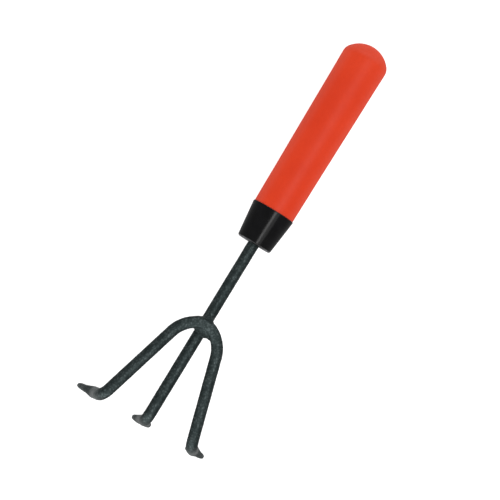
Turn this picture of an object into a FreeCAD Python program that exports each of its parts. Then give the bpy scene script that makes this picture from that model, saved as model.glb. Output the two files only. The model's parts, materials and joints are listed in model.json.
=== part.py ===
import FreeCAD, Part
import math
import os

# Hand cultivator: a three-tined hand tool for loosening soil, in millimetres.
#
# It is designed in a tool frame: x runs along the handle's axis from the crown of the butt (x = 0)
# towards the tines, y is to the left, and z is up, away from the blades. The round bar and the bow
# that is welded on top of it both lie along x, and their blades hang down towards -z.
# At the end the whole tool is laid down as it rests on a bench: blade points and butt touch Z = 0,
# and the origin is the middle of its footprint.

Vector = FreeCAD.Vector
FORWARD = Vector(1, 0, 0)
LEFT = Vector(0, 1, 0)
UP = Vector(0, 0, 1)

# --- driving dimensions ---

# Grip: a hollow moulding with a domed butt
grip_length = 129.0       # crown of the butt to the ferrule's rim
butt_radius = 16.6        # side of the grip, run on to the crown's plane
neck_radius = 14.8        # side of the grip at the ferrule's rim
crown_radius = 18.8       # spherical end of the butt
crown_blend = 8.0         # rounding between the crown and the side
grip_wall = 2.8
socket_radius = 6.6       # outside of the tube that holds the tang
socket_floor = 4.0        # solid end of that tube, behind the tang
rib_count = 6             # ribs from the tube to the wall
rib_thickness = 1.6
rib_turn = 30.0           # first rib's angle, which keeps the ribs off the wings' slots
rib_setback = 12.0        # front end of the ribs, behind the ferrule's rim
nose_length = 18.0        # front of the grip, inside the ferrule
nose_wall = 2.4
snap_ring_at = 12.0       # ring round the nose, in front of the ferrule's rim
snap_ring_height = 0.4
snap_ring_width = 2.4

# Ferrule: a conical cap over the nose of the grip
ferrule_length = 26.0
rim_radius = 15.4
mouth_radius = 12.4
ferrule_wall = 2.2
ferrule_front_wall = 3.0
rim_rounding = 0.5
mouth_rounding = 0.9
shank_clearance = 0.15    # ferrule's hole round the shank, on the radius

# Fork: one straight bar, and a bow of the same rod welded on top of it
rod_radius = 4.0
tang_length = 62.0        # bar inside the grip, behind the ferrule's rim
tang_chamfer = 1.2
wing_span = 10.6          # pressed wings that stop the tang from turning
wing_thickness = 2.6
wing_length = 8.0
wing_setback = 14.0       # front end of the wings, behind the ferrule's rim
bow_apex = 217.7          # centre line of the bow where it crosses the bar
bow_lift = 7.5            # the bow's axis over the bar's: a rod's diameter, less the weld's set-down
apex_radius = 14.5
apex_angle = 35.0         # each side of the apex that has this radius
shoulder_radius = 23.0
splay = 16.0              # legs of the bow to the handle's axis
elbow_start = 286.0       # where all three tines start to bend down
elbow_radius = 9.0        # on the rod's centre line
elbow_angle = 78.0        # outer tines
middle_elbow_angle = 75.0

# Blades: the ends of the rods, forged flat and pointed
blade_half_width = 7.2
blade_half_thickness = 2.3
point_half_width = 1.4
point_half_thickness = 1.1
blade_length = 28.8       # elbow's end to the point, on the middle tine
widest_at = 15.5          # elbow's end to the widest section
flat_from = 12.0          # elbow's end to where the blade has its full flatness
point_curve = 1.9         # 1 would give straight edges to the point, 2 a blunt round one
face_corner = 60.0        # degrees: where a blade's crowned face ends and its rounded edge begins

# Weld metal in the four corners of the crossing
crotch_bead_radius = 3.2
crotch_bead_reach = 0.9   # its centre, in front of the bow's inner side
shoulder_bead_radius = 2.2
shoulder_bead_reach = -1.1    # its centre, behind the bow's outer side, so this one is inside it
bead_side_offset = 4.4    # beads' centres to the bar's axis
bead_lift = 3.7           # beads' centres over the bar's axis

# Working values that no visible size depends on
join = 1.0                # how far two fused pieces run into each other
touch = 0.01              # edges this close to a plane lie in it


# --- small helpers ---

def revolved(edges):
    """Solid of revolution about the tool's axis, from the edges of a half section that starts and
    ends on that axis."""
    return Part.Face(Part.Wire(edges)).revolve(Vector(), FORWARD, 360)


def line(x0, r0, x1, r1):
    return Part.makeLine(Vector(x0, r0, 0), Vector(x1, r1, 0))


def cone(x0, r0, x1, r1):
    return Part.makeCone(r0, r1, x1 - x0, Vector(x0, 0, 0), FORWARD)


def round_edges_at(solid, x):
    """The circular edges of a solid that lie in the plane x."""
    return [edge for edge in solid.Edges
            if edge.BoundBox.XLength < touch and abs(edge.BoundBox.XMin - x) < touch]


def turned(vector, axis, angle):
    return FreeCAD.Rotation(axis, angle).multVec(vector)


def smooth(t):
    """0 to 1 with no slope at either end."""
    return t * t * (3 - 2 * t)


# --- grip ---

def side_slope():
    return (butt_radius - neck_radius) / grip_length


def blend_centre():
    """Centre, in the half section, of the arc that joins the butt's sphere to the tapered side."""
    slope = side_slope()
    reach = butt_radius - crown_blend * math.hypot(1, slope)
    a = 1 + slope ** 2
    b = crown_radius + slope * reach
    c = crown_radius ** 2 + reach ** 2 - (crown_radius - crown_blend) ** 2
    x = (b - math.sqrt(b ** 2 - a * c)) / a
    return Vector(x, reach - slope * x, 0)


def grip_body(inset, front):
    """Solid inside the grip's outer skin, moved in by inset, from the butt to x = front."""
    crown = crown_radius - inset
    blend = crown_blend - inset
    crown_centre = Vector(crown_radius, 0, 0)
    outward = (blend_centre() - crown_centre).normalize()
    side_normal = Vector(side_slope(), 1, 0).normalize()
    from_crown = blend_centre() + outward * blend
    to_side = blend_centre() + side_normal * blend
    half_angle = math.atan2(outward.y, -outward.x) / 2
    top = crown_centre - FORWARD * crown
    crown_middle = crown_centre + Vector(-math.cos(half_angle), math.sin(half_angle), 0) * crown
    blend_middle = blend_centre() + (outward + side_normal).normalize() * blend
    front_radius = to_side.y - side_slope() * (front - to_side.x)
    return revolved([
        Part.Arc(top, crown_middle, from_crown).toShape(),
        Part.Arc(from_crown, blend_middle, to_side).toShape(),
        line(to_side.x, to_side.y, front, front_radius),
        line(front, front_radius, front, 0),
        line(front, 0, top.x, 0),
    ])


def ferrule_inner_radius(x):
    """The ferrule's bore and the grip's nose are the same cone."""
    taper = (rim_radius - mouth_radius) / ferrule_length
    return rim_radius - ferrule_wall - taper * (x - grip_length)


def tang_space():
    """What the grip leaves free for the tang: a round bore, and slots through which its wings
    pass."""
    front = grip_length + nose_length
    bore = Part.makeCylinder(rod_radius, tang_length + nose_length,
                             Vector(grip_length - tang_length, 0, 0), FORWARD)
    wings_back = grip_length - wing_setback - wing_length
    slot = Part.makeBox(front - wings_back, wing_span, wing_thickness,
                        Vector(wings_back, -wing_span / 2, -wing_thickness / 2))
    return bore.fuse(slot)


def snap_ring():
    """Ridge of triangular section round the nose, which clicks into the ferrule."""
    middle = grip_length + snap_ring_at
    back = middle - snap_ring_width / 2
    front = middle + snap_ring_width / 2
    crest = ferrule_inner_radius(middle) + snap_ring_height
    return revolved([
        line(back, 0, back, ferrule_inner_radius(back)),
        line(back, ferrule_inner_radius(back), middle, crest),
        line(middle, crest, front, ferrule_inner_radius(front)),
        line(front, ferrule_inner_radius(front), front, 0),
        line(front, 0, back, 0),
    ])


def make_grip():
    """Hollow and open at the nose. The tang's tube stands in the cavity, on ribs."""
    nose_back = grip_length - join
    nose_front = grip_length + nose_length
    nose = cone(nose_back, ferrule_inner_radius(nose_back),
                nose_front, ferrule_inner_radius(nose_front))
    skin = grip_body(0, grip_length).fuse(nose).fuse(snap_ring())

    nose_bore = cone(nose_back, ferrule_inner_radius(nose_back) - nose_wall,
                     nose_front, ferrule_inner_radius(nose_front) - nose_wall)
    cavity = grip_body(grip_wall, nose_back).fuse(nose_bore)
    tube_back = grip_length - tang_length - socket_floor
    tube = Part.makeCylinder(socket_radius, nose_front - tube_back,
                             Vector(tube_back, 0, 0), FORWARD)
    ribs = []
    for number in range(rib_count):
        rib = Part.makeBox(grip_length - rib_setback, rib_thickness, butt_radius,
                           Vector(0, -rib_thickness / 2, 0))
        rib.rotate(Vector(), FORWARD, rib_turn + number * 360 / rib_count)
        ribs.append(rib)
    pockets = cavity.cut(tube.fuse(ribs))
    return skin.cut(pockets).cut(tang_space()).removeSplitter()


# --- ferrule ---

def make_ferrule(grip):
    mouth = grip_length + ferrule_length
    shell = cone(grip_length, rim_radius, mouth, mouth_radius)
    shell = shell.makeFillet(rim_rounding, round_edges_at(shell, grip_length))
    shell = shell.makeFillet(mouth_rounding, round_edges_at(shell, mouth))
    hollow_front = mouth - ferrule_front_wall
    hollow = cone(grip_length, ferrule_inner_radius(grip_length),
                  hollow_front, ferrule_inner_radius(hollow_front))
    shank_hole = Part.makeCylinder(rod_radius + shank_clearance, ferrule_length,
                                   Vector(grip_length, 0, 0), FORWARD)
    return shell.cut(hollow).cut(shank_hole).cut(grip).removeSplitter()


# --- rods ---

class Rod:
    """A round rod that grows from a point by straight lengths and bends, in the order given."""

    def __init__(self, point, heading):
        self.point = Vector(point)
        self.heading = Vector(heading)
        self.solids = []

    def disc(self):
        return Part.Face(Part.Wire(Part.makeCircle(rod_radius, self.point, self.heading)))

    def straight(self, length):
        step = self.heading * length
        self.solids.append(self.disc().extrude(step))
        self.point = self.point + step

    def bend(self, new_heading, radius):
        """Turn in one plane to new_heading, with this radius on the centre line."""
        angle = math.degrees(self.heading.getAngle(new_heading))
        axis = self.heading.cross(new_heading).normalize()
        centre = self.point + axis.cross(self.heading) * radius
        self.solids.append(self.disc().revolve(centre, axis, angle))
        self.point = centre + turned(self.point - centre, axis, angle)
        self.heading = Vector(new_heading)

    def fused_with(self, others):
        return self.solids[0].multiFuse(self.solids[1:] + others).removeSplitter()


# --- blades ---

def blade_axes(direction):
    """Across the blade, and square to its broad faces on the side towards the handle."""
    across = (LEFT - direction * LEFT.dot(direction)).normalize()
    return across, across.cross(direction)


def blade_section(centre, direction, half_width, half_thickness):
    """Closed section of four arcs: two broad, slightly crowned faces and two rounded edges.
    With equal half sizes it is the rod's own circle."""
    across, square = blade_axes(direction)
    corner = math.radians(face_corner)
    corner_out = half_width - half_thickness * (1 - math.cos(corner))
    corner_up = half_thickness * math.sin(corner)
    corners = [centre + across * side * corner_out + square * up * corner_up
               for side, up in ((1, 1), (-1, 1), (-1, -1), (1, -1))]
    middles = [centre + square * half_thickness, centre - across * half_width,
               centre - square * half_thickness, centre + across * half_width]
    return Part.Wire([Part.Arc(corners[i], middles[i], corners[(i + 1) % 4]).toShape()
                      for i in range(4)])


def make_blade(start, direction):
    """Forged end of a rod: it widens to a spade, thins to a plate, and ends in a point."""
    point_length = blade_length - widest_at
    stations = [widest_at * i / 5 for i in range(6)]
    stations += [widest_at + point_length * i / 4 for i in range(1, 5)]
    sections = []
    for station in stations:
        flatness = smooth(min(1, station / flat_from))
        half_thickness = rod_radius + (blade_half_thickness - rod_radius) * flatness
        if station <= widest_at:
            half_width = rod_radius + (blade_half_width - rod_radius) * smooth(station / widest_at)
        else:
            run = (station - widest_at) / point_length
            narrowing = run ** point_curve
            half_width = blade_half_width + (point_half_width - blade_half_width) * narrowing
            half_thickness += (point_half_thickness - blade_half_thickness) * run
        sections.append(blade_section(start + direction * station, direction,
                                      half_width, half_thickness))
    return Part.makeLoft(sections, True, False)


def blade_contact(start, direction):
    """Where a blade's point touches the bench: the lowest point of its blunt end, taken as an
    ellipse."""
    across, square = blade_axes(direction)
    wide = across * point_half_width
    thin = square * point_half_thickness
    lowest = (wide * wide.z + thin * thin.z) * (-1 / math.hypot(wide.z, thin.z))
    return start + direction * blade_length + lowest


# --- fork ---

def tine_headings(outward, down):
    """A leg's direction for a splay of outward degrees to the left, and the direction of its end,
    which is the leg's turned down by so many degrees about the tool's cross axis."""
    leg = turned(FORWARD, UP, outward)
    return leg, turned(leg, LEFT, down)


def make_centre_bar():
    back = grip_length - tang_length
    bar = Rod(Vector(back, 0, 0), FORWARD)
    bar.straight(elbow_start - back)
    bar.bend(tine_headings(0, middle_elbow_angle)[1], elbow_radius)
    wings = Part.makeBox(wing_length, wing_span, wing_thickness,
                         Vector(grip_length - wing_setback - wing_length,
                                -wing_span / 2, -wing_thickness / 2))
    solid = bar.fused_with([wings, make_blade(bar.point, bar.heading)])
    solid = solid.makeChamfer(tang_chamfer, round_edges_at(solid, back))
    return solid, blade_contact(bar.point, bar.heading)


def bench_angle(contact):
    """Slope of the bench below the handle's axis: it touches the butt's rounding and contact, a
    blade's point."""
    centre = blend_centre()
    to_butt = Vector(centre.x, 0, -centre.y) - contact
    distance = to_butt.Length
    return math.degrees(math.atan2(to_butt.z, -to_butt.x) - math.asin(crown_blend / distance))


def make_tine_bow(contact, slope):
    """The bow's left half, mirrored to the right. Its blades hang on straight lengths that bring
    their points down to the bench through contact."""
    leg, drop = tine_headings(splay, elbow_angle)
    half = Rod(Vector(bow_apex, 0, bow_lift), LEFT)
    half.bend(turned(LEFT, UP, -apex_angle), apex_radius)
    half.bend(leg, shoulder_radius)
    half.straight((elbow_start - half.point.x) / leg.x)
    half.bend(drop, elbow_radius)
    bench_normal = turned(UP, LEFT, slope)
    gap = (blade_contact(half.point, drop) - contact).dot(bench_normal)
    half.straight(-gap / drop.dot(bench_normal))
    left = half.fused_with([make_blade(half.point, half.heading)])
    right = left.mirror(Vector(), LEFT)
    return left.fuse(right).removeSplitter()


# --- weld beads ---

def make_weld_bead(x, side, radius, rods):
    bead = Part.makeSphere(radius, Vector(x, side * bead_side_offset, bead_lift))
    return bead.cut(rods[0]).cut(rods[1])


# --- assembly ---

def make_parts():
    grip = make_grip()
    centre_bar, contact = make_centre_bar()
    slope = bench_angle(contact)
    tine_bow = make_tine_bow(contact, slope).cut(centre_bar)
    parts = {
        "grip": grip,
        "ferrule": make_ferrule(grip),
        "centre_bar": centre_bar,
        "tine_bow": tine_bow,
    }
    rods = (centre_bar, tine_bow)
    crotch = bow_apex + rod_radius + crotch_bead_reach
    shoulder = bow_apex - rod_radius - shoulder_bead_reach
    for name, side in (("left", 1), ("right", -1)):
        parts["weld_crotch_" + name] = make_weld_bead(crotch, side, crotch_bead_radius, rods)
        parts["weld_shoulder_" + name] = make_weld_bead(shoulder, side, shoulder_bead_radius, rods)
    return parts, slope


def lay_on_bench(parts, slope):
    """Turn the tool from its own frame to where it lies, with the origin under its middle."""
    for shape in parts.values():
        shape.rotate(Vector(), LEFT, -slope)
    boxes = [shape.optimalBoundingBox(False, False) for shape in parts.values()]
    middle_x = (min(box.XMin for box in boxes) + max(box.XMax for box in boxes)) / 2
    bottom = min(box.ZMin for box in boxes)
    for shape in parts.values():
        shape.translate(Vector(-middle_x, 0, -bottom))
    return middle_x, bottom


def main():
    parts, slope = make_parts()
    middle_x, bottom = lay_on_bench(parts, slope)
    os.makedirs("parts", exist_ok=True)
    for name, shape in parts.items():
        shape.exportStep("parts/" + name + ".step")
    print("bench slope %.3f degrees, tool frame's x = %.3f and z = %.3f at the origin"
          % (slope, middle_x, bottom))


main()
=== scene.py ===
# Looks of the hand cultivator: a moulded grip, a ferrule, and a fork of welded, enamelled rod.
import json
import math

import bmesh
import bpy
import numpy as np
from mathutils import Matrix, Quaternion, Vector, noise


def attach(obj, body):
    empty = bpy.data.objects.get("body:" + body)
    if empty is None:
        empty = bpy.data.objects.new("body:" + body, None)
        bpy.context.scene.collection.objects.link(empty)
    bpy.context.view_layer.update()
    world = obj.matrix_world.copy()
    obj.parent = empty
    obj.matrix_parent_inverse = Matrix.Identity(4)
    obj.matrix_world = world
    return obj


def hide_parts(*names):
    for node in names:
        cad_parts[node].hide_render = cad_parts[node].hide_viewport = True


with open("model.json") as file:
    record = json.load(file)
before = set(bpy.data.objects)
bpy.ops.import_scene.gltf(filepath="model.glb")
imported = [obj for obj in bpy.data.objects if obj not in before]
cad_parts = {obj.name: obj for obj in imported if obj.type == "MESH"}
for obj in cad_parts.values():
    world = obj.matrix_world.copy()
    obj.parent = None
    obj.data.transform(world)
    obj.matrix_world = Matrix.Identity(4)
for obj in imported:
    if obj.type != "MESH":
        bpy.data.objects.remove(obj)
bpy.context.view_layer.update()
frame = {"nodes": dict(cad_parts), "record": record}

# --- tool frame ---
# Shapes are made in the tool frame, in millimetres: x along the handle's axis from the crown of
# the butt towards the tines, y to the left, z up. in_row() brings them to the row frame, in metres.

MM = 0.001
LEFT = Vector((0, 1, 0))
UP = Vector((0, 0, 1))
MIRROR = (1, -1, 1)         # to the other side of the upright plane through the axis
mounts = {mount["name"]: mount for mount in frame["record"]["mounts"]}
seat = np.array(mounts["rack_seat"]["pos_m"])   # on the axis, in the plane of the ferrule's mouth
forward = np.array(mounts["rack_seat"]["axis"])
axes = np.array((forward, LEFT, np.cross(forward, LEFT)))


def along_axis(node):
    """Where a CAD node starts and ends along the handle's axis, in millimetres from the seat."""
    places = np.array([vertex.co for vertex in frame["nodes"][node].data.vertices])
    reach = (places - seat) @ forward / MM
    return reach.min(), reach.max()


grip_span = along_axis("grip")
ferrule_span = along_axis("ferrule")
crown = seat + forward * grip_span[0] * MM


def in_row(points):
    """Tool frame, in millimetres, to row frame, in metres."""
    return crown + np.asarray(points) @ axes * MM


def from_crown(reach):
    """x in the tool frame, from millimetres along the axis from the seat."""
    return reach - grip_span[0]


# --- dimensions, in millimetres ---

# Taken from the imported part
RIM = from_crown(ferrule_span[0])           # back edge of the ferrule
MOUTH = from_crown(ferrule_span[1])         # front face of the ferrule
NOSE = from_crown(grip_span[1])             # front of the grip, inside the ferrule
ROD_RADIUS = mounts["shank_clip"]["dims"]["r_mm"]
BOW_APEX = from_crown(along_axis("tine_bow")[0]) + ROD_RADIUS
TANG_BACK = from_crown(along_axis("centre_bar")[0])

# Grip
CROWN_RADIUS = 18.8
CROWN_BLEND = 8.0           # rounding between the crown and the tapered side
BUTT_RADIUS = 16.6          # side, run on to the crown's plane
NECK_RADIUS = 14.8          # side, at the rim
CROWN_START = 179.4         # degrees: the crown's arc starts a little off the axis
RIB_ANGLES = [math.radians(30 + 60 * rib) for rib in range(6)]     # from straight up
SINK_DEPTH = 0.07           # the skin draws in a little over each rib
SINK_WIDTH = 2.6
RIB_START = 13.0
RIB_END = 113.0
RIB_FADE = 8.0              # a sink comes in and goes out over this length
SEAM_HEIGHT = 0.05          # parting line of the mould, on both flanks
SEAM_WIDTH = 0.16
SEAM_POINTS = (-2.5, -1.5, -1, -0.5, 0.5, 1, 1.5, 2.5)      # across the line, in its widths
GATE_RADIUS = 2.6           # dimple in the crown where the plastic came in
GATE_DEPTH = 0.3
GATE_EDGE = 0.8
SPRUE_RADIUS = 0.9
SPRUE_HEIGHT = 0.22
SPRUE_EDGE = 0.4
BORE_END = 0.5              # radius of the small fan that closes the bore
SKIN_WAVE = 0.05            # unevenness of the moulded skin
SKIN_WAVE_LENGTH = 22.0

# Ferrule
RIM_RADIUS = 15.4
MOUTH_RADIUS = 12.4
FERRULE_WALL = 2.2
FRONT_WALL = 3.0
RIM_ROUNDING = 0.5
MOUTH_ROUNDING = 1.6
LIP_SCUFF_AND_REFLECTION = 1.3              # the rounded lip is worn over this length, and lightened there as a painted reflection of the floor
LIP_SCUFF_AND_REFLECTION_EDGE = 0.8
LIP_FACE = 0.5              # and this far onto the flat end
FLANK_START = 0.2           # share of the radius out to the side where the scuffs and the painted reflection begin
FLANK_EDGE = 0.5
FERRULE_WAVE = 0.03
FERRULE_WAVE_LENGTH = 9.0
HOLE_GAP = 0.15             # round the shank
HOLE_BEVEL = 0.45

# Fork
TANG_CHAMFER = 1.2
BOW_LIFT = 7.5              # the bow's axis over the bar's
APEX_RADIUS = 14.5
APEX_ANGLE = 35.0
SHOULDER_RADIUS = 23.0
SPLAY = 16.0
ELBOW_START = 286.0
ELBOW_RADIUS = 9.0
ELBOW_ANGLE = 78.0          # outer tines
MIDDLE_ELBOW_ANGLE = 75.0

# Blades
BLADE_LENGTH = 28.8
WIDEST_AT = 15.5
FLAT_FROM = 12.0
BLADE_HALF_WIDTH = 7.2
BLADE_HALF_THICKNESS = 2.3
POINT_HALF_WIDTH = 1.4
POINT_HALF_THICKNESS = 1.1
POINT_CURVE = 1.9
POINT_ROUNDING = 1.3        # length over which the point's end is rounded off
POINT_END = 0.98            # of a full rounding: the point keeps a small flat
POINT_PAINT = 0.2           # room for paint under the outer tines' points
BLADE_SQUARENESS = 0.8      # added to an ellipse's exponent of 2 where a blade is flat
FORGE_DENT = 0.12           # depth of the hammer's marks on a blade
FORGE_SIZE = 4.5
DENT_POWER = 4              # how close the hammer's marks come to a blade's edge
EDGE_NICK = 0.08
NICK_LENGTH = 3.2
NICK_POWER = 8              # how closely the nicks keep to a blade's edge

# Hammered enamel
CELL_SIZE = 2.1             # of the hammer pattern
CELL_RELIEF = 0.09
CELL_WARP = 0.5
CELL_EDGE = 0.55            # share of a cell that its rounded edge takes
ENAMEL_THICKNESS = 0.1      # that the paint adds to the bare rod
ROD_WAVE = 0.05
ROD_WAVE_LENGTH = 9.0
FORGED_START = -7.0         # past the elbow's end, where the hammer pattern begins to fade
FORGED_EDGE = 10.0
FORGED_FADING = 0.8         # share of the pattern that is gone on a blade
SHEEN_START = -8.0         # past the elbow's end, where the painted sheen on a blade's root begins, and the paint turns grey
SHEEN_EDGE = 10.0
SHEEN_END = 12.0           # and where the painted sheen is gone and the paint is dark again
SHEEN_FADE = 8.0
BLADE_GREY_PAINT = 0.2          # what is left of the grey on the rest of a blade: greyer paint, without the painted sheen
EDGE_WEAR = 0.7
WEAR_POWER = 8              # how closely worn paint keeps to a blade's edge
POINT_WEAR = 0.5

# Mesh
STEP = 0.3                  # between the points of a finely worked surface
CORNER_STEP = 0.1           # on small roundings
HIDDEN_STEP = 2.0           # on surfaces that are out of sight
SHARP_ANGLE = math.radians(50)
ROD_SHARP_ANGLE = math.radians(60)
ROD_POINTS = 84             # round a rod
TURN_POINTS = 168           # round the grip and the ferrule

# --- colours, linear, and finishes ---

GRIP_RED = (0.79, 0.050, 0.0100)
GRIP_ORANGE = (0.84, 0.060, 0.013)
GRIP_MOTTLE = (0.75, 0.047, 0.0100)
GRIP_MARK = (0.80, 0.14, 0.07)
FERRULE_BLACK = (0.0022, 0.0022, 0.0025)
FERRULE_CLOUD = (0.0045, 0.0045, 0.005)
FERRULE_RUB = (0.02, 0.02, 0.022)
# light grey of the lip: partly scuffs, and partly a painted reflection of the pale floor
FERRULE_SCUFF_AND_REFLECTION = (0.24, 0.24, 0.25)
ENAMEL_DEEP = ((0.024, 0.036, 0.036), (0.036, 0.050, 0.050))
ENAMEL_FLAKE = ((0.074, 0.095, 0.095), (0.115, 0.142, 0.142))
# light grey: a painted sheen at the blades' roots, and greyer paint on the blades
ENAMEL_SHEEN_AND_GREY = (0.205, 0.215, 0.215)
ENAMEL_WORN = (0.22, 0.235, 0.235)
GRIP_ROUGHNESS = (0.42, 0.50)
FERRULE_ROUGHNESS = (0.15, 0.22)
ENAMEL_ROUGHNESS = (0.50, 0.38)     # between the hammer's cells, and in their middles
ENAMEL_METALLIC = (0.75, 0.2)       # where flake shows, and under the painted sheen and greyer paint
NOISE_RANGE = (0.3, 0.7)            # that nearly all of a noise's values lie in
NOISE_MIDDLE = (0.35, 0.65)         # for patches with firmer edges
SCRATCH_EDGE = 0.05                 # rise in the noise from a scratch's edge to its middle


# --- shapes ---

def smooth(t):
    """0 to 1 with no slope at either end."""
    t = np.clip(t, 0, 1)
    return t * t * (3 - 2 * t)


def steps(start, stop, spacing):
    """Evenly spaced values from start to stop, both included."""
    count = max(2, math.ceil(abs(stop - start) / spacing) + 1)
    return np.linspace(start, stop, count)


def straight(start, stop, spacing=STEP):
    """Points of a half section along a line. A point is (x, radius)."""
    t = steps(0, math.dist(start, stop), spacing)[:, None] / math.dist(start, stop)
    return np.array(start) * (1 - t) + np.array(stop) * t


def arc(centre, radius, start, stop, spacing=STEP):
    """Points of a half section along an arc, between two angles in degrees from the +x axis."""
    angles = steps(math.radians(start), math.radians(stop), spacing / radius)
    return np.array(centre) + radius * np.column_stack((np.cos(angles), np.sin(angles)))


def turned_rings(profile, angles):
    """A ring about the tool's axis for each point of a half section. Angles are from straight up
    towards the left."""
    profile = np.asarray(profile)
    rings = np.empty((len(profile), len(angles), 3))
    rings[..., 0] = profile[:, :1]
    rings[..., 1] = profile[:, 1:] * np.sin(angles)
    rings[..., 2] = profile[:, 1:] * np.cos(angles)
    return rings


def skin(rings, closed=False):
    """Points and faces of the skin over rings of equally many points. It is closed at both ends by
    fans, or closed runs on from the last ring to the first."""
    stations, around, _ = rings.shape
    points = rings.reshape(-1, 3)
    here = np.arange(stations * around).reshape(stations, around)
    if closed:
        here = np.vstack((here, here[:1]))
    beside = np.roll(here, -1, axis=1)
    quads = np.stack((here[:-1], beside[:-1], beside[1:], here[1:]), axis=-1)
    faces = quads.reshape(-1, 4).tolist()
    if not closed:
        for ring, other in ((here[0], beside[0]), (here[-1], beside[-1])):
            points = np.vstack((points, points[ring].mean(axis=0)))
            faces += [(a, b, len(points) - 1) for a, b in zip(ring.tolist(), other.tolist())]
    return points, faces


def vertex_places(piece):
    """Places of a piece's vertices in the tool frame."""
    places = np.empty(len(piece.data.vertices) * 3)
    piece.data.vertices.foreach_get("co", places)
    return (places.reshape(-1, 3) - crown) @ axes.T / MM


def displace(piece, heights):
    """Move each vertex along its normal, by heights in millimetres."""
    mesh = piece.data
    places = np.empty(len(mesh.vertices) * 3)
    normals = np.empty(len(mesh.vertices) * 3)
    mesh.vertices.foreach_get("co", places)
    mesh.vertex_normals.foreach_get("vector", normals)
    places += normals * np.repeat(heights, 3) * MM
    mesh.vertices.foreach_set("co", places)
    mesh.update()


def store(piece, name, values):
    """Keep a value for each vertex, for the piece's material."""
    attribute = piece.data.attributes.new(name, "FLOAT", "POINT")
    attribute.data.foreach_set("value", np.asarray(values, np.float32))


def add_piece(name, shape, nodes, material):
    """A piece that stands for CAD nodes, from points in the tool frame and faces."""
    points, faces = shape
    mesh = bpy.data.meshes.new(name)
    mesh.from_pydata(in_row(points).tolist(), [], faces)
    work = bmesh.new()
    work.from_mesh(mesh)
    bmesh.ops.recalc_face_normals(work, faces=work.faces)
    work.to_mesh(mesh)
    work.free()
    mesh.shade_smooth()
    mesh.materials.append(material)
    piece = bpy.data.objects.new(name, mesh)
    bpy.context.scene.collection.objects.link(piece)
    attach(piece, "root")
    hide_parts(*nodes)
    return piece


# --- relief ---

def waves(places, length, seed=0.0):
    """Smooth noise from about -1 to 1, with bumps about length apart."""
    shift = Vector((seed, 2 * seed, 3 * seed))
    return np.array([noise.noise(Vector(place) / length + shift) for place in places])


# noise.noise() gives the same values in every run, and noise.noise_vector() doesn't
WARP_SHIFTS = (Vector((0, 0, 0)), Vector((31.7, 11.3, 5.1)), Vector((-17.9, 43.1, 23.7)))


def hammer_cells(places, size, warp=CELL_WARP):
    """1 in the middle of each cell of an irregular pattern, 0 where two cells meet."""
    cells = np.empty(len(places))
    for index, place in enumerate(places):
        spot = Vector(place) / size
        spot += Vector([noise.noise(spot + shift) for shift in WARP_SHIFTS]) * warp
        nearest = noise.voronoi(spot)[0]
        cells[index] = nearest[1] - nearest[0]
    return smooth(cells / CELL_EDGE)


# --- materials ---

def add_node(tree, kind, inputs=None, **settings):
    """A shader node with its settings. An input is a value, or another node's output to link."""
    made = tree.nodes.new("ShaderNode" + kind)
    for name, value in settings.items():
        setattr(made, name, value)
    for name, value in (inputs or {}).items():
        if isinstance(value, bpy.types.NodeSocket):
            tree.links.new(value, made.inputs[name])
        else:
            made.inputs[name].default_value = value
    return made


def new_material(name, constants):
    """A material with its tree, its shader with constants set, and coordinates in millimetres."""
    material = bpy.data.materials.new(name)
    material.use_nodes = True
    tree = material.node_tree
    shader = tree.nodes["Principled BSDF"]
    for socket, value in constants.items():
        shader.inputs[socket].default_value = value
    place = add_node(tree, "TexCoord").outputs["Object"]
    scaled = add_node(tree, "VectorMath", {0: place, "Scale": 1 / MM}, operation="SCALE")
    return material, tree, shader, scaled.outputs["Vector"]


def speckle(tree, place, size, detail=2.0, roughness=0.5):
    """Noise from 0 to 1 with bumps about size millimetres apart."""
    made = add_node(tree, "TexNoise", {
        "Vector": place, "Scale": 1 / size, "Detail": detail, "Roughness": roughness})
    return made.outputs["Fac"]


def spread(tree, value, low, high, out_low=0.0, out_high=1.0):
    """value mapped from low..high to out_low..out_high, and held there outside."""
    made = add_node(tree, "MapRange", {
        "Value": value, "From Min": low, "From Max": high, "To Min": out_low, "To Max": out_high})
    return made.outputs["Result"]


MIX_COLOUR_INPUTS = (0, 6, 7)       # of a Mix node that blends colours: factor, A and B
MIX_COLOUR_OUTPUT = 2


def blend(tree, share, first, second):
    """Colour between first and second."""
    made = add_node(tree, "Mix", data_type="RGBA")
    factor, colour_a, colour_b = (made.inputs[index] for index in MIX_COLOUR_INPUTS)
    for socket, value in ((factor, share), (colour_a, first), (colour_b, second)):
        if isinstance(value, bpy.types.NodeSocket):
            tree.links.new(value, socket)
        elif isinstance(value, tuple):
            socket.default_value = (*value, 1)
        else:
            socket.default_value = value
    return made.outputs[MIX_COLOUR_OUTPUT]


def maths(tree, operation, first, second):
    """Result of a sum, product or other operation on two values."""
    return add_node(tree, "Math", {0: first, 1: second}, operation=operation).outputs["Value"]


def stored(tree, name):
    """What store() kept for each vertex under this name."""
    return add_node(tree, "Attribute", attribute_name=name).outputs["Fac"]


def bump(tree, height, depth, under=None):
    """Normal of a relief whose height runs from 0 to 1 over depth millimetres."""
    inputs = {"Height": height, "Strength": 1.0, "Distance": depth * MM}
    if under is not None:
        inputs["Normal"] = under
    return add_node(tree, "Bump", inputs).outputs["Normal"]


def scratches(tree, place, length, width, turn, amount):
    """1 along fine, long scratches in one direction, 0 elsewhere. They lie where stretched noise
    rises past 1 - amount."""
    stretched = add_node(tree, "Mapping", {
        "Vector": place, "Rotation": (0.0, 0.0, turn), "Scale": (1 / length, 1 / width, 1 / width)})
    lines = add_node(tree, "TexNoise", {
        "Vector": stretched.outputs["Vector"], "Scale": 1.0, "Detail": 1.0})
    return spread(tree, lines.outputs["Fac"], 1 - amount, 1.0 - amount + SCRATCH_EDGE)


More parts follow.
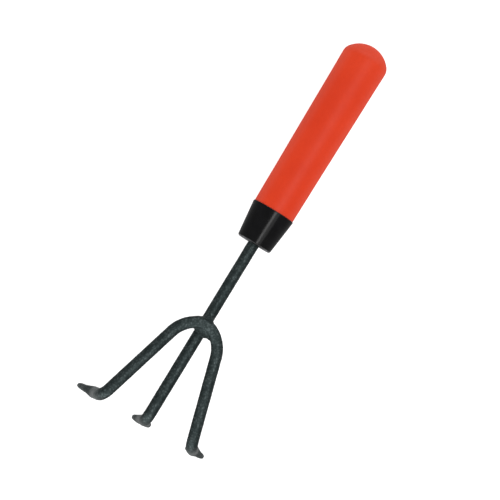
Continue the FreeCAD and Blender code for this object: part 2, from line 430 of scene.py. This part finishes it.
def grip_material():
    """Satin orange-red plastic with the mould's fine grain and light marks of use."""
    material, tree, shader, place = new_material("orange_red_moulding", {
        "IOR": 1.49, "Specular IOR Level": 0.3, "Diffuse Roughness": 0.6})
    drift = speckle(tree, place, 26.0, detail=3.0)
    mottle = speckle(tree, place, 2.2, detail=3.0, roughness=0.6)
    colour = blend(tree, spread(tree, drift, *NOISE_MIDDLE), GRIP_RED, GRIP_ORANGE)
    mottling = spread(tree, mottle, *NOISE_RANGE, out_high=0.35)
    colour = blend(tree, mottling, colour, GRIP_MOTTLE)
    marks = maths(tree, "MAXIMUM",
                  scratches(tree, place, length=16.0, width=0.5, turn=0.25, amount=0.285),
                  scratches(tree, place, length=9.0, width=0.4, turn=-0.6, amount=0.28))
    colour = blend(tree, maths(tree, "MULTIPLY", marks, 0.10), colour, GRIP_MARK)
    tree.links.new(colour, shader.inputs["Base Color"])
    cloud = speckle(tree, place, 9.0, detail=4.0)
    finish = spread(tree, cloud, *NOISE_RANGE, *GRIP_ROUGHNESS)
    finish = maths(tree, "ADD", finish, maths(tree, "MULTIPLY", marks, 0.08))
    tree.links.new(finish, shader.inputs["Roughness"])
    grain = bump(tree, speckle(tree, place, 0.22), 0.010)
    relief = bump(tree, speckle(tree, place, 3.0), 0.02, grain)
    tree.links.new(bump(tree, marks, -0.008, relief), shader.inputs["Normal"])
    return material


def ferrule_material():
    """Black plastic, half glossy, with fine rubbed lines, and light grey scuffs where the piece is
    worn; on the lip this grey is also a painted reflection of the pale floor.
    """
    material, tree, shader, place = new_material("black_moulding", {
        "IOR": 1.49, "Specular IOR Level": 0.28})
    cloud = speckle(tree, place, 7.0, detail=4.0)
    colour = blend(tree, spread(tree, cloud, 0.35, 0.7), FERRULE_BLACK, FERRULE_CLOUD)
    rubs = scratches(tree, place, length=7.0, width=0.3, turn=0.3, amount=0.29)
    colour = blend(tree, maths(tree, "MULTIPLY", rubs, 0.3), colour, FERRULE_RUB)
    ragged = spread(tree, speckle(tree, place, 2.6, detail=3.0), *NOISE_RANGE, out_low=0.35)
    # painted reflection of the floor on the lip, together with scuffs
    scuffs_and_reflection = maths(tree, "MULTIPLY", stored(tree, "wear"), ragged)
    colour = blend(tree, maths(tree, "MULTIPLY", scuffs_and_reflection, 0.7), colour, FERRULE_SCUFF_AND_REFLECTION)
    tree.links.new(colour, shader.inputs["Base Color"])
    finish = spread(tree, speckle(tree, place, 4.0, detail=4.0), *NOISE_RANGE, *FERRULE_ROUGHNESS)
    finish = maths(tree, "ADD", finish, maths(tree, "MULTIPLY", rubs, 0.1))
    tree.links.new(finish, shader.inputs["Roughness"])
    grain = bump(tree, speckle(tree, place, 0.3), 0.004)
    relief = bump(tree, speckle(tree, place, 3.5), 0.03, grain)
    tree.links.new(relief, shader.inputs["Normal"])
    return material


def enamel_material(name):
    """Dark green-grey hammered enamel: paler flake in the cells, darker lines between them, and
    thin or worn paint along the blades' edges and at their points. Where a blade was forged, its
    paint is greyer and duller, and a painted sheen lightens it towards its root."""
    material, tree, shader, place = new_material(name, {
        "IOR": 1.5, "Specular IOR Level": 0.4})
    cells = stored(tree, "cells")
    patches = speckle(tree, place, 5.0, detail=3.0)
    fleck = speckle(tree, place, 0.5)
    deep = blend(tree, spread(tree, patches, *NOISE_MIDDLE), *ENAMEL_DEEP)
    pale = blend(tree, spread(tree, fleck, *NOISE_MIDDLE), *ENAMEL_FLAKE)
    share = spread(tree, patches, 0.3, 0.65, out_low=0.25, out_high=0.9)
    share = maths(tree, "MULTIPLY", cells, share)
    colour = blend(tree, share, deep, pale)
    ragged = spread(tree, speckle(tree, place, 1.1, detail=4.0, roughness=0.7), 0.35, 0.62)
    # on the rods and welds this attribute holds only worn paint; the painted reflection is on the
    # ferrule's lip
    worn = spread(tree, maths(tree, "ADD", stored(tree, "wear"), ragged), 1.15, 1.45)
    uneven = spread(tree, speckle(tree, place, 3.5, detail=3.0), 0.3, 0.65, out_low=0.6)
    # painted sheen at the blades' roots, over greyer paint on the blades
    grey = maths(tree, "MULTIPLY", stored(tree, "scorch"), uneven)
    colour = blend(tree, maths(tree, "MULTIPLY", grey, 0.85), colour, ENAMEL_SHEEN_AND_GREY)
    colour = blend(tree, maths(tree, "MULTIPLY", worn, 0.75), colour, ENAMEL_WORN)
    tree.links.new(colour, shader.inputs["Base Color"])
    tree.links.new(spread(tree, grey, 0.0, 1.0, *ENAMEL_METALLIC), shader.inputs["Metallic"])
    finish = spread(tree, cells, 0.0, 1.0, *ENAMEL_ROUGHNESS)
    finish = maths(tree, "ADD", finish, maths(tree, "MULTIPLY", worn, 0.15))
    flecks = spread(tree, fleck, *NOISE_RANGE, out_low=-0.04, out_high=0.06)
    finish = maths(tree, "ADD", finish, flecks)
    tree.links.new(finish, shader.inputs["Roughness"])
    grain = bump(tree, fleck, 0.012)
    pattern = maths(tree, "MULTIPLY", cells, stored(tree, "pattern"))
    tree.links.new(bump(tree, pattern, 0.03, grain), shader.inputs["Normal"])
    return material


# --- grip ---

def grip_profile():
    """Half section from the crown round the butt, along the side to the rim, over the nose inside
    the ferrule, and back down the bore round the tang."""
    slope = (BUTT_RADIUS - NECK_RADIUS) / RIM
    lean = math.atan(slope)
    reach = BUTT_RADIUS - CROWN_BLEND * math.hypot(1, slope)
    # the blend's centre is on a line inside the side, and this far from the crown's centre
    distance = CROWN_RADIUS - CROWN_BLEND
    a = 1 + slope ** 2
    b = CROWN_RADIUS + slope * reach
    x = (b - math.sqrt(b ** 2 - a * (CROWN_RADIUS ** 2 + reach ** 2 - distance ** 2))) / a
    blend_centre = (x, reach - slope * x)
    crown_centre = (CROWN_RADIUS, 0)
    turn = 180 - math.degrees(math.atan2(blend_centre[1], CROWN_RADIUS - x))
    side_start = (x + CROWN_BLEND * math.sin(lean), blend_centre[1] + CROWN_BLEND * math.cos(lean))
    nose_back = RIM_RADIUS - FERRULE_WALL
    nose_front = nose_back - (RIM_RADIUS - MOUTH_RADIUS) * (NOSE - RIM) / (MOUTH - RIM)
    bore = ROD_RADIUS + HOLE_GAP
    return np.vstack((
        arc(crown_centre, CROWN_RADIUS, CROWN_START, turn),
        arc(blend_centre, CROWN_BLEND, turn, 90 - math.degrees(lean))[1:],
        straight(side_start, (RIM, NECK_RADIUS), 2 * STEP)[1:],
        straight((RIM, NECK_RADIUS), (RIM, nose_back))[1:],
        straight((RIM, nose_back), (NOSE, nose_front), HIDDEN_STEP)[1:],
        straight((NOSE, nose_front), (NOSE, bore), HIDDEN_STEP)[1:],
        straight((NOSE, bore), (TANG_BACK, bore), 2 * HIDDEN_STEP)[1:],
        straight((TANG_BACK, bore), (TANG_BACK, BORE_END), HIDDEN_STEP)[1:],
    ))


def make_grip():
    """The moulding, with its parting line, gate and sinks."""
    even = np.linspace(0, math.tau, TURN_POINTS, endpoint=False)
    beside_seam = np.array(SEAM_POINTS) * SEAM_WIDTH / NECK_RADIUS
    angles = np.concatenate([even] + [side * math.pi / 2 + beside_seam for side in (1, 3)])
    rings = turned_rings(grip_profile(), np.sort(angles))
    piece = add_piece("grip_moulding", skin(rings), ["grip"], grip_material())

    places = vertex_places(piece)
    x = places[:, 0]
    radius = np.hypot(places[:, 1], places[:, 2])
    angle = np.arctan2(places[:, 1], places[:, 2])
    outside = (x < RIM - STEP / 2) & (radius > ROD_RADIUS + 2 * HOLE_GAP) | (x < CROWN_BLEND)
    heights = SKIN_WAVE * waves(places, SKIN_WAVE_LENGTH)
    over_ribs = smooth((x - RIB_START) / RIB_FADE) * smooth((RIB_END - x) / RIB_FADE)
    for rib in RIB_ANGLES:
        across = np.abs((angle - rib + math.pi) % math.tau - math.pi) * radius
        heights -= SINK_DEPTH * over_ribs * np.exp(-(across / SINK_WIDTH) ** 2)
    heights += SEAM_HEIGHT * np.exp(-(places[:, 2] / SEAM_WIDTH) ** 2)
    on_crown = x < CROWN_BLEND
    heights -= GATE_DEPTH * smooth((GATE_RADIUS - radius) / GATE_EDGE) * on_crown
    heights += SPRUE_HEIGHT * smooth((SPRUE_RADIUS - radius) / SPRUE_EDGE) * on_crown
    displace(piece, heights * outside)
    piece.data.set_sharp_from_angle(angle=SHARP_ANGLE)


# --- ferrule ---

def ferrule_profile():
    """Closed half section: back face, rim, cone, lip, front face, hole and inside."""
    lean = math.degrees(math.atan((RIM_RADIUS - MOUTH_RADIUS) / (MOUTH - RIM)))
    slope = math.tan(math.radians(lean))

    def inset_corner(x, radius, rounding, toward_rim):
        """Centre of the arc that rounds the corner of the cone at x."""
        side = math.cos(math.radians(lean))
        reach = radius - toward_rim * slope * rounding - rounding / side
        return x + toward_rim * rounding, reach

    rim_centre = inset_corner(RIM, RIM_RADIUS, RIM_ROUNDING, 1)
    mouth_centre = inset_corner(MOUTH, MOUTH_RADIUS, MOUTH_ROUNDING, -1)
    inner_rim = RIM_RADIUS - FERRULE_WALL
    inner_front = MOUTH - FRONT_WALL
    inner_end = inner_rim - slope * (inner_front - RIM)
    hole = ROD_RADIUS + HOLE_GAP
    rim_arc = arc(rim_centre, RIM_ROUNDING, 180, 90 - lean, CORNER_STEP)
    mouth_arc = arc(mouth_centre, MOUTH_ROUNDING, 90 - lean, 0, CORNER_STEP)
    bevel_start = (MOUTH, hole + HOLE_BEVEL)
    bevel_end = (MOUTH - HOLE_BEVEL, hole)
    bevel_centre = (bevel_end[0], bevel_start[1])
    return np.vstack((
        straight((RIM, inner_rim), rim_arc[0], HIDDEN_STEP / 2)[:-1],
        rim_arc,
        straight(rim_arc[-1], mouth_arc[0])[1:],
        mouth_arc[1:],
        straight(mouth_arc[-1], bevel_start)[1:],
        arc(bevel_centre, HOLE_BEVEL, 360, 270, CORNER_STEP)[1:-1],
        straight(bevel_end, (inner_front, hole), HIDDEN_STEP / 2),
        straight((inner_front, hole), (inner_front, inner_end), HIDDEN_STEP)[1:],
        straight((inner_front, inner_end), (RIM, inner_rim), HIDDEN_STEP)[1:-1],
    ))


def make_ferrule():
    """The cap, with light grey along its lip on the two sides that it is laid down on: partly
    scuffs, and partly a painted reflection of the pale floor, which the glossy pieces don't mirror.
    """
    angles = np.linspace(0, math.tau, TURN_POINTS, endpoint=False)
    rings = turned_rings(ferrule_profile(), angles)
    piece = add_piece("ferrule_cap", skin(rings, closed=True), ["ferrule"],
                      ferrule_material())
    places = vertex_places(piece)
    displace(piece, FERRULE_WAVE * waves(places, FERRULE_WAVE_LENGTH, seed=3.0))
    from_mouth = MOUTH - places[:, 0]
    radius = np.hypot(places[:, 1], places[:, 2])
    outside = radius > MOUTH_RADIUS - MOUTH_ROUNDING - LIP_FACE
    on_flank = smooth((np.abs(places[:, 1]) / radius - FLANK_START) / FLANK_EDGE)
    # the lip's attribute holds scuffs and a painted reflection of the floor
    store(piece, "wear", smooth((LIP_SCUFF_AND_REFLECTION - from_mouth) / LIP_SCUFF_AND_REFLECTION_EDGE) * outside * on_flank)
    piece.data.set_sharp_from_angle(angle=SHARP_ANGLE)


# --- rods ---

class Path:
    """Centre line of a rod that grows from a point by straight lengths and bends."""

    def __init__(self, point, heading):
        self.points = [Vector(point)]
        self.headings = [Vector(heading)]

    def straight(self, length, spacing=STEP):
        start = self.points[-1]
        for reach in steps(0, length, spacing)[1:]:
            self.points.append(start + self.headings[-1] * reach)
            self.headings.append(self.headings[-1])

    def bend(self, heading, radius):
        """Turn in one plane to heading, with this radius on the centre line."""
        start, old = self.points[-1], self.headings[-1]
        axis = old.cross(heading).normalized()
        centre = start + axis.cross(old) * radius
        for angle in steps(0, old.angle(heading), STEP / radius)[1:]:
            turn = Quaternion(axis, angle)
            self.points.append(centre + turn @ (start - centre))
            self.headings.append(turn @ old)


def tine_headings(outward, down):
    """A leg's direction for a splay of outward degrees to the left, and that of its blade, which
    is turned down by so many degrees."""
    leg = Quaternion(UP, math.radians(outward)) @ Vector((1, 0, 0))
    return leg, Quaternion(LEFT, math.radians(down)) @ leg


def blade_halves(station):
    """Half width, half thickness and flatness of a blade, at a distance past its start."""
    flatness = smooth(station / FLAT_FROM)
    widening = smooth(station / WIDEST_AT)
    run = np.clip((station - WIDEST_AT) / (BLADE_LENGTH - WIDEST_AT), 0, 1)
    width = ROD_RADIUS + (BLADE_HALF_WIDTH - ROD_RADIUS) * widening
    width += (POINT_HALF_WIDTH - BLADE_HALF_WIDTH) * run ** POINT_CURVE
    thickness = ROD_RADIUS + (BLADE_HALF_THICKNESS - ROD_RADIUS) * flatness
    thickness += (POINT_HALF_THICKNESS - BLADE_HALF_THICKNESS) * run
    return width, thickness, flatness


def rod_rings(path, arch_until=0):
    """Rings round a path that ends in a blade, each ring point's distance past the blade's start,
    and how close it is to the blade's edges, 0 to 1. Up to station arch_until the path lies flat,
    and its sections are set square to that plane. From there on they follow the blade's width."""
    angles = np.linspace(0, math.tau, ROD_POINTS, endpoint=False)
    lengths = [0.0]
    for first, second in zip(path.points, path.points[1:]):
        lengths.append(lengths[-1] + (second - first).length)
    from_blade = np.array(lengths) - (lengths[-1] - BLADE_LENGTH)
    rings = np.empty((len(path.points), ROD_POINTS, 3))
    for index, (point, heading) in enumerate(zip(path.points, path.headings)):
        if index < arch_until:
            across = UP.cross(heading)
        else:
            across = (LEFT - heading * heading.dot(LEFT)).normalized()
        square = across.cross(heading)
        width, thickness, flatness = blade_halves(from_blade[index])
        power = 2 / (2 + BLADE_SQUARENESS * flatness)
        past = max(0, from_blade[index] - (BLADE_LENGTH - POINT_ROUNDING)) / POINT_ROUNDING
        rounding = math.sqrt(1 - min(POINT_END, past ** 2))
        width, thickness = width * rounding, thickness * rounding
        out = width * np.sign(np.cos(angles)) * np.abs(np.cos(angles)) ** power
        up = thickness * np.sign(np.sin(angles)) * np.abs(np.sin(angles)) ** power
        rings[index] = np.array(point) + np.outer(out, across) + np.outer(up, square)
    edge = np.abs(np.cos(angles))[None, :] * np.ones((len(from_blade), 1))
    return rings, np.repeat(from_blade[:, None], ROD_POINTS, axis=1), edge


def chamfer_start(rings):
    """Draw a rod's first rings in to the chamfer on its end."""
    centre = rings[0].mean(axis=0)
    for ring in rings:
        reach = np.linalg.norm(ring.mean(axis=0) - centre)
        share = 1 - max(0, TANG_CHAMFER - reach) / ROD_RADIUS
        middle = ring.mean(axis=0)
        ring[:] = middle + (ring - middle) * share


def add_rod(name, rings, from_blade, edge, neck, node):
    """A rod's piece, with the enamel's hammered relief and the forge's marks on its blades. neck
    is the straight length between an elbow and its blade, and the rest comes from rod_rings()."""
    piece = add_piece(name, skin(rings), [node], enamel)
    places = vertex_places(piece)
    spare = len(places) - from_blade.size           # the middles of the two fans at the ends
    from_blade = np.append(from_blade.ravel(), np.full(spare, from_blade.max()))
    edge = np.append(edge.ravel(), np.ones(spare))
    flatness = smooth(from_blade / FLAT_FROM)
    cells = hammer_cells(places, CELL_SIZE)
    past_elbow = from_blade + neck
    forged = smooth((past_elbow - FORGED_START) / FORGED_EDGE)
    pattern = 1 - FORGED_FADING * forged
    heights = ENAMEL_THICKNESS + CELL_RELIEF * (cells - 1) * pattern
    heights += ROD_WAVE * waves(places, ROD_WAVE_LENGTH, seed=5.0)
    dents = hammer_cells(places, FORGE_SIZE)
    heights -= FORGE_DENT * dents * flatness * (1 - edge ** DENT_POWER)
    nicks = np.abs(waves(places, NICK_LENGTH, seed=9.0))
    heights -= EDGE_NICK * nicks * flatness * edge ** NICK_POWER
    displace(piece, heights)

    on_edge = EDGE_WEAR * flatness * edge ** WEAR_POWER
    near_point = smooth((from_blade - WIDEST_AT) / (BLADE_LENGTH - WIDEST_AT))
    # a painted highlight where a blade leaves its elbow
    root_sheen = smooth((past_elbow - SHEEN_START) / SHEEN_EDGE)
    root_sheen = root_sheen * smooth((SHEEN_END - past_elbow) / SHEEN_FADE)
    store(piece, "cells", cells)
    store(piece, "pattern", pattern)
    store(piece, "wear", np.maximum(on_edge, POINT_WEAR * near_point))
    store(piece, "scorch", np.maximum(root_sheen, BLADE_GREY_PAINT * forged))
    piece.data.set_sharp_from_angle(angle=ROD_SHARP_ANGLE)


def make_centre_bar():
    """Tang, shank and middle tine, along the tool's axis."""
    path = Path((TANG_BACK, 0, 0), (1, 0, 0))
    path.straight(MOUTH - TANG_BACK, HIDDEN_STEP / 2)
    path.straight(ELBOW_START - MOUTH)
    path.bend(tine_headings(0, MIDDLE_ELBOW_ANGLE)[1], ELBOW_RADIUS)
    path.straight(BLADE_LENGTH)
    rings, from_blade, edge = rod_rings(path)
    chamfer_start(rings)
    add_rod("shank_and_middle_tine", rings, from_blade, edge, 0, "centre_bar")


def make_tine_bow():
    """The bow with both outer tines, over the bar. Returns the left half of its arch."""
    leg, drop = tine_headings(SPLAY, ELBOW_ANGLE)
    path = Path((BOW_APEX, 0, BOW_LIFT), LEFT)
    path.bend(Quaternion(UP, -math.radians(APEX_ANGLE)) @ LEFT, APEX_RADIUS)
    path.bend(leg, SHOULDER_RADIUS)
    arch_until = len(path.points)
    path.straight((ELBOW_START - path.points[-1].x) / leg.x)
    path.bend(drop, ELBOW_RADIUS)
    # a straight neck brings the points down as low as the node's
    places = np.array([vertex.co for vertex in frame["nodes"]["tine_bow"].data.vertices])
    tip = in_row(path.points[-1] + drop * BLADE_LENGTH)[2]
    fall = (in_row(drop) - in_row((0, 0, 0)))[2]
    neck = (places[:, 2].min() - tip) / fall - POINT_PAINT
    path.straight(neck)
    path.straight(BLADE_LENGTH)
    rings, from_blade, edge = rod_rings(path, arch_until)
    mirrored = rings[:0:-1] * np.array(MIRROR)
    add_rod("bow_and_outer_tines", np.concatenate((mirrored, rings)),
            np.concatenate((from_blade[:0:-1], from_blade)), np.concatenate((edge[:0:-1], edge)),
            neck, "tine_bow")
    return np.array(path.points[:arch_until])


# --- weld beads ---

GRID = 0.25                 # spacing of the grid that a bead's surface is found on
WELD_DEPTH = 0.5            # how far weld metal runs into the rods' skin
WELD_EDGE = 0.03            # thinnest weld metal, under the enamel
WELD_OVERLAP = 0.3          # left and right welds run into each other over the bar
WELD_PATTERN = 0.5          # share of the hammer pattern's relief on a weld
WELD_BUILD = 3.4            # how much higher the weld makes the bar, beside the bow
BUILD_REACH = 4.5
WELD_DROP = 4.5             # how much lower it makes the bow's underside, beside the bar
DROP_REACH = 9.0
FILLET_REACH = 6.0
FILLET_FADE = 1.6           # in that reach: a fillet has died out this far from the rods
FILLET_MIN = 0.05
WELD_SPAN = 14.0            # size of the grid that holds one corner's weld
WELD_ROUGHNESS = 0.14
WELD_GRAIN = 1.6            # size of the roughness's bumps
WELD_RISE = 0.16            # how proud the rough metal stands
RELIEF_DEPTH = 0.5          # weld metal thinner than this has less relief
RIPPLE_HEIGHT = 0.05
RIPPLE_LENGTH = 1.5
RIPPLE_CENTRE = np.array((BOW_APEX, 0, 9))
CUBE_CORNERS = [(i, j, k) for i in (0, 1) for j in (0, 1) for k in (0, 1)]
# In front of the bow (facing 1) or behind it (-1). The fillets' sizes are over the bar, and beside
# it on the left and on the right.
WELDS = {
    "crotch": {"facing": 1, "over_bar": 5.5, "left": 7.0, "right": 3.6, "seed": 12.0},
    "shoulder": {"facing": -1, "over_bar": 1.6, "left": 1.2, "right": 1.5, "seed": 16.0},
}


def isosurface(field, low, high):
    """Points and faces of the surface where field is 0, from its signs at the corners of a grid's
    cells. Each cell that the surface cuts gets one point, among its edges' crossings."""
    axis_values = [steps(low[axis], high[axis], GRID) for axis in range(3)]
    corner = np.stack(np.meshgrid(*axis_values, indexing="ij"), axis=-1)
    values = field(corner.reshape(-1, 3)).reshape(corner.shape[:3])
    cells = tuple(size - 1 for size in values.shape)
    total = np.zeros(cells + (3,))
    count = np.zeros(cells)

    def part(array, shift):
        return array[tuple(slice(s, s + n) for s, n in zip(shift, cells))]

    for first in CUBE_CORNERS:
        for axis in range(3):
            if first[axis]:
                continue
            second = tuple(1 if k == axis else first[k] for k in range(3))
            a, b = part(values, first), part(values, second)
            cut = (a < 0) != (b < 0)
            share = np.where(cut, a / np.where(cut, a - b, 1), 0)[..., None]
            crossing = part(corner, first) * (1 - share) + part(corner, second) * share
            total += crossing * cut[..., None]
            count += cut
    number = np.full(cells, -1)
    number[count > 0] = np.arange((count > 0).sum())
    points = total[count > 0] / count[count > 0][:, None]

    faces = []
    for axis in range(3):
        one, two = [k for k in range(3) if k != axis]
        inner = [slice(1, -1)] * 3
        inner[axis] = slice(0, -1)
        ahead = list(inner)
        ahead[axis] = slice(1, None)
        for spot in np.argwhere((values[tuple(inner)] < 0) != (values[tuple(ahead)] < 0)):
            spot = spot + 1
            spot[axis] -= 1
            quad = []
            for shift in ((0, 0), (1, 0), (1, 1), (0, 1)):
                cell = spot.copy()
                cell[one] -= shift[0]
                cell[two] -= shift[1]
                quad.append(int(number[tuple(cell)]))
            faces.append(quad)
    return points, faces


def distance_to_line(places, line):
    """Distance from each place to the nearest of a line's closely spaced points."""
    nearest = np.full(len(places), np.inf)
    for point in line:
        nearest = np.minimum(nearest, ((places - point) ** 2).sum(axis=1))
    return np.sqrt(nearest)


def melted(first, second, size):
    """Union of two distance fields, with a fillet of about this size between them."""
    share = np.clip(0.5 + (second - first) / (2 * size), 0, 1)
    return second + (first - second) * share - size * share * (1 - share)


def weld_field(side, facing, fillet, over_bar, arch, seed):
    """Distance field of the weld metal on one side of the bar, left (1) or right (-1). Near the
    crossing the bar is built up towards the bow and the bow down towards the bar, and a fillet
    joins them."""

    def field(places):
        height = places[:, 2]
        bar = np.hypot(places[:, 1], height) - ROD_RADIUS
        from_arch = distance_to_line(places[:, :2], arch[:, :2])
        bow = np.hypot(from_arch, height - BOW_LIFT) - ROD_RADIUS
        rods = np.minimum(bar, bow)
        above_bar = height - np.clip(height, 0, WELD_BUILD * smooth(1 - bow / BUILD_REACH))
        below = BOW_LIFT - WELD_DROP * smooth(1 - bar / DROP_REACH)
        beyond_bow = height - np.clip(height, below, BOW_LIFT)
        built_bar = np.hypot(places[:, 1], above_bar) - ROD_RADIUS
        built_bow = np.hypot(from_arch, beyond_bow) - ROD_RADIUS
        fading = smooth(FILLET_FADE - np.maximum(bar, bow) / FILLET_REACH)
        beside_bar = smooth(np.abs(places[:, 1]) / ROD_RADIUS)
        size = fading * (over_bar + (fillet - over_bar) * beside_bar)
        surface = melted(built_bar, built_bow, np.maximum(size, FILLET_MIN))
        thickness = rods - surface
        from_arc = np.linalg.norm(places - RIPPLE_CENTRE, axis=1)
        relief = RIPPLE_HEIGHT * np.sin(math.tau * from_arc / RIPPLE_LENGTH)
        relief += WELD_ROUGHNESS * waves(places, WELD_GRAIN, seed) - WELD_RISE
        surface += relief * smooth(thickness / RELIEF_DEPTH)
        other_side = -side * places[:, 1] - WELD_OVERLAP
        past_bow = facing * (BOW_APEX - places[:, 0])
        return np.maximum.reduce((surface, -rods - WELD_DEPTH, WELD_EDGE - thickness,
                                  other_side, past_bow))

    return field


def make_weld(corner, side_name, side, arch):
    """The weld in one of the crossing's four corners, under the rods' enamel."""
    weld = WELDS[corner]
    facing = weld["facing"]
    field = weld_field(side, facing, weld[side_name], weld["over_bar"], arch, weld["seed"])
    low = np.array((BOW_APEX - (facing < 0) * WELD_SPAN - GRID, (side < 0) * -WELD_SPAN - GRID,
                    -ROD_RADIUS))
    high = low + (WELD_SPAN + 2 * GRID, WELD_SPAN + 2 * GRID, BOW_LIFT + 2 * ROD_RADIUS)
    piece = add_piece("%s_weld_%s" % (corner, side_name), isosurface(field, low, high),
                      ["weld_%s_%s" % (corner, side_name)], weld_enamel)
    places = vertex_places(piece)
    cells = hammer_cells(places, CELL_SIZE)
    displace(piece, CELL_RELIEF * WELD_PATTERN * (cells - 1))
    store(piece, "cells", cells)
    for attribute, value in (("wear", 0), ("scorch", 0), ("pattern", 1)):
        store(piece, attribute, np.full(len(places), value))


# --- the object ---

enamel = enamel_material("hammered_enamel")
weld_enamel = enamel_material("hammered_enamel_on_weld")
make_grip()
make_ferrule()
make_centre_bar()
left_arch = make_tine_bow()
left_arch = left_arch[left_arch[:, 1] < WELD_SPAN]
arch = np.vstack((left_arch, left_arch * MIRROR))
for corner in WELDS:
    for side_name, side in (("left", 1), ("right", -1)):
        make_weld(corner, side_name, side, arch)


# --- stage ---

CAMERA_PLACE = (173.2, -90.6, 772.7)        # in the tool frame, like the next two
CAMERA_AIM = (159.6, 0.1, -0.2)
CAMERA_UP = (-0.8537, -0.5187, -0.0457)     # direction of the picture's top
CAMERA_LENS = 83.4
FLOOR_SIZE = 30.0           # metres, like the softboxes' numbers
FLOOR_SHADE = 0.5
FLOOR_GLOW = 0.88           # a white sweep that is lit from below as well
WORLD_LIGHT = 0.26
# Name, place, the spot that it is aimed at, width across Y, height, and radiance
SOFTBOXES = (
    ("key", (-0.05, 0.16, 1.2), (-0.05, 0.01, 0.03), 0.22, 0.9, 4.2),
    ("key_side", (-0.05, 0.46, 1.15), (0, 0, 0.03), 0.36, 0.9, 1.0),
    ("front", (1.3, 0.0, 0.8), (0, 0, 0.03), 3.0, 1.2, 1.95),
    ("back", (-1.3, 0.0, 0.7), (0, 0, 0.03), 3.0, 1.0, 1.45),
)
LAMP_UP = (1, 0, 0.001)     # a softbox's height lies along X, and this is never straight up


def look_from(thing, place, aim, upward):
    """Put a camera or a light at place, turned to aim, with upward towards the top."""
    back = (Vector(place) - Vector(aim)).normalized()
    right = Vector(upward).cross(back).normalized()
    turn = Matrix((right, back.cross(right), back)).transposed()
    thing.matrix_world = Matrix.Translation(place) @ turn.to_4x4()


def add_camera():
    """The main view: almost straight down, with the handle towards the top right."""
    data = bpy.data.cameras.new("camera")
    data.lens = CAMERA_LENS
    camera = bpy.data.objects.new("camera", data)
    bpy.context.scene.collection.objects.link(camera)
    look_from(camera, in_row(CAMERA_PLACE), in_row(CAMERA_AIM), np.array(CAMERA_UP) @ axes)
    bpy.context.scene.camera = camera


def add_softbox(name, place, aim, width, height, radiance):
    """A rectangular light that looks this bright, whatever its size."""
    data = bpy.data.lights.new(name, "AREA")
    data.shape = "RECTANGLE"
    data.size = width
    data.size_y = height
    data.energy = radiance * math.pi * width * height
    light = bpy.data.objects.new(name, data)
    bpy.context.scene.collection.objects.link(light)
    look_from(light, place, aim, LAMP_UP)


def add_floor():
    """A pale floor that the glossy pieces don't mirror."""
    mesh = bpy.data.meshes.new("floor")
    half = FLOOR_SIZE / 2
    mesh.from_pydata([(-half, -half, 0), (half, -half, 0), (half, half, 0), (-half, half, 0)], [],
                     [(0, 1, 2, 3)])
    floor = bpy.data.objects.new("floor", mesh)
    bpy.context.scene.collection.objects.link(floor)
    material = new_material("pale_floor", {
        "Base Color": (FLOOR_SHADE, FLOOR_SHADE, FLOOR_SHADE, 1), "Roughness": 0.9,
        "Specular IOR Level": 0.0, "Emission Color": (1, 1, 1, 1),
        "Emission Strength": FLOOR_GLOW})[0]
    mesh.materials.append(material)
    floor.visible_glossy = False


def add_world():
    """Even white light from all round."""
    world = bpy.data.worlds.new("studio")
    bpy.context.scene.world = world
    world.use_nodes = True
    background = world.node_tree.nodes["Background"]
    background.inputs["Color"].default_value = (1, 1, 1, 1)
    background.inputs["Strength"].default_value = WORLD_LIGHT


add_camera()
add_floor()
for softbox in SOFTBOXES:
    add_softbox(*softbox)
add_world()
bpy.context.scene.view_settings.view_transform = "Standard"
